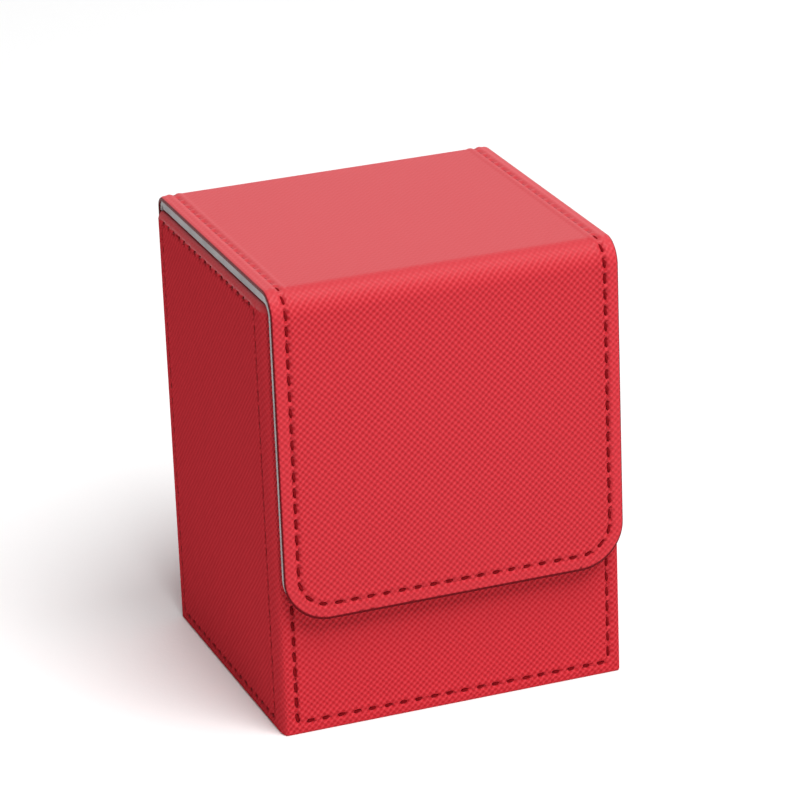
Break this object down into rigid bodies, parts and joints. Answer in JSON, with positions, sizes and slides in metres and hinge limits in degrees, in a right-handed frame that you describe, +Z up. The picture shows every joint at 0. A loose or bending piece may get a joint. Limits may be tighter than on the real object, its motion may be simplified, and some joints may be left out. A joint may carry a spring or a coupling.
{
  "type": "card deck box",
  "caption": "Upright flip-top deck box for trading cards: a leatherette-covered board tray with a suede-lined lid and a magnetic front flap on living hinges.",
  "frame": {"origin": "middle of the footprint, on the surface that the box stands on", "axes": "+Z up, the flap faces -Y, +X to the right seen from the front"},
  "size_m": [0.078, 0.0746, 0.1],
  "materials": {
    "leatherette": "red PU leatherette with a fine embossed diamond grain, satin",
    "microsuede": "grey microsuede, matt, with a short nap",
    "greyboard": "recycled greyboard, matt, uncoated",
    "sewing_thread": "bonded polyester sewing thread, dark red",
    "nickel_plate": "nickel-plated disc magnets, satin"
  },
  "bodies": {
    "box": {"front_cover": "leatherette", "front_board": "greyboard", "front_lining": "microsuede", "front_thread": "sewing_thread", "front_magnet_left": "nickel_plate", "front_magnet_right": "nickel_plate", "left_cover": "leatherette", "left_board": "greyboard", "left_lining": "microsuede", "left_thread": "sewing_thread", "right_cover": "leatherette", "right_board": "greyboard", "right_lining": "microsuede", "right_thread": "sewing_thread", "back_cover": "leatherette", "back_board": "greyboard", "back_lining": "microsuede", "back_thread": "sewing_thread", "base_cover": "leatherette", "base_board": "greyboard", "base_lining": "microsuede"},
    "lid": {"lid_cover": "leatherette", "lid_board": "greyboard", "lid_lining": "microsuede", "lid_thread_left": "sewing_thread", "lid_thread_right": "sewing_thread", "rear_hinge_cover": "leatherette", "rear_hinge_lining": "microsuede", "rear_hinge_thread_left": "sewing_thread", "rear_hinge_thread_right": "sewing_thread"},
    "flap": {"flap_cover": "leatherette", "flap_board": "greyboard", "flap_lining": "microsuede", "flap_thread": "sewing_thread", "flap_magnet_left": "nickel_plate", "flap_magnet_right": "nickel_plate", "front_hinge_cover": "leatherette", "front_hinge_lining": "microsuede", "front_hinge_thread_left": "sewing_thread", "front_hinge_thread_right": "sewing_thread"}
  },
  "joints": [
    {"name": "lid_hinge", "type": "hinge", "parent": "box", "child": "lid", "pos_m": [0, 0.03625, 0.099], "axis": [-1, 0, 0], "range_deg": [0, 170], "deforming": ["rear_hinge_cover", "rear_hinge_lining", "rear_hinge_thread_left", "rear_hinge_thread_right"]},
    {"name": "flap_hinge", "type": "hinge", "parent": "lid", "child": "flap", "pos_m": [0, -0.03574, 0.09849], "axis": [-1, 0, 0], "range_deg": [0, 110], "deforming": ["front_hinge_cover", "front_hinge_lining", "front_hinge_thread_left", "front_hinge_thread_right"]}
  ]
}
